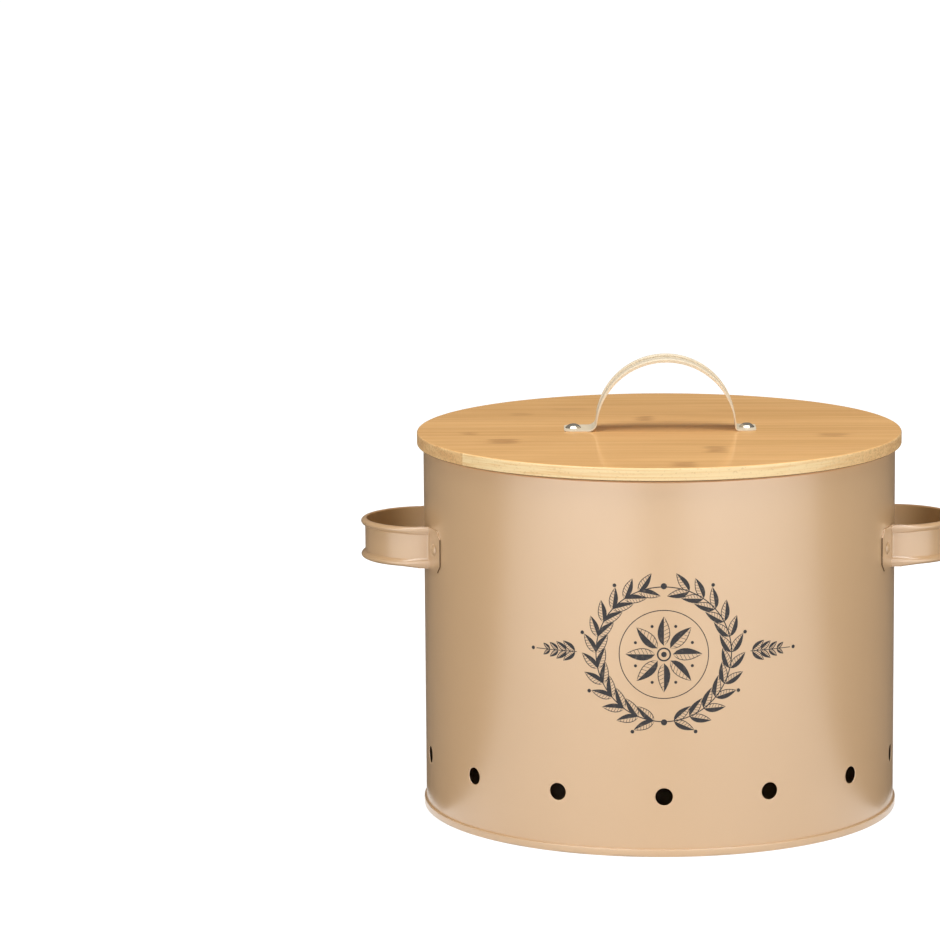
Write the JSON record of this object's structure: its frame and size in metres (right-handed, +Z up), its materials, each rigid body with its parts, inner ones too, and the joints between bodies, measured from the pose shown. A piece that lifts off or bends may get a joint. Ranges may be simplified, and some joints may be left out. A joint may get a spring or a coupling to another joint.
{
  "type": "potato storage bin",
  "caption": "Round vented storage bin of painted sheet steel with a looped strap handle on each side and a flat bamboo lid that lifts off by an arched strap.",
  "frame": {"origin": "centre of the base, on the surface that the bin stands on", "axes": "+X through the two side handles to the right one, +Z up, front of the bin at -Y"},
  "size_m": [0.3554, 0.2876, 0.2693],
  "materials": {
    "body_paint": "satin powder coat, warm beige",
    "handle_paint": "satin powder coat, light beige",
    "bamboo": "oiled bamboo board, semi-gloss",
    "bright_steel": "polished bare metal"
  },
  "bodies": {
    "bin": {"wall_shell": "body_paint", "base_pan": "body_paint", "left_side_handle": "body_paint", "right_side_handle": "body_paint", "left_front_rivet": "body_paint", "left_rear_rivet": "body_paint", "right_front_rivet": "body_paint", "right_rear_rivet": "body_paint"},
    "lid": {"lid_board": "bamboo", "lid_handle": "handle_paint", "left_lid_rivet": "bright_steel", "right_lid_rivet": "bright_steel", "left_lid_washer": "bright_steel", "right_lid_washer": "bright_steel"}
  },
  "joints": [
    {"name": "lid_lift", "type": "slide", "parent": "bin", "child": "lid", "axis": [0, 0, 1], "range_m": [0, 0.12]}
  ]
}
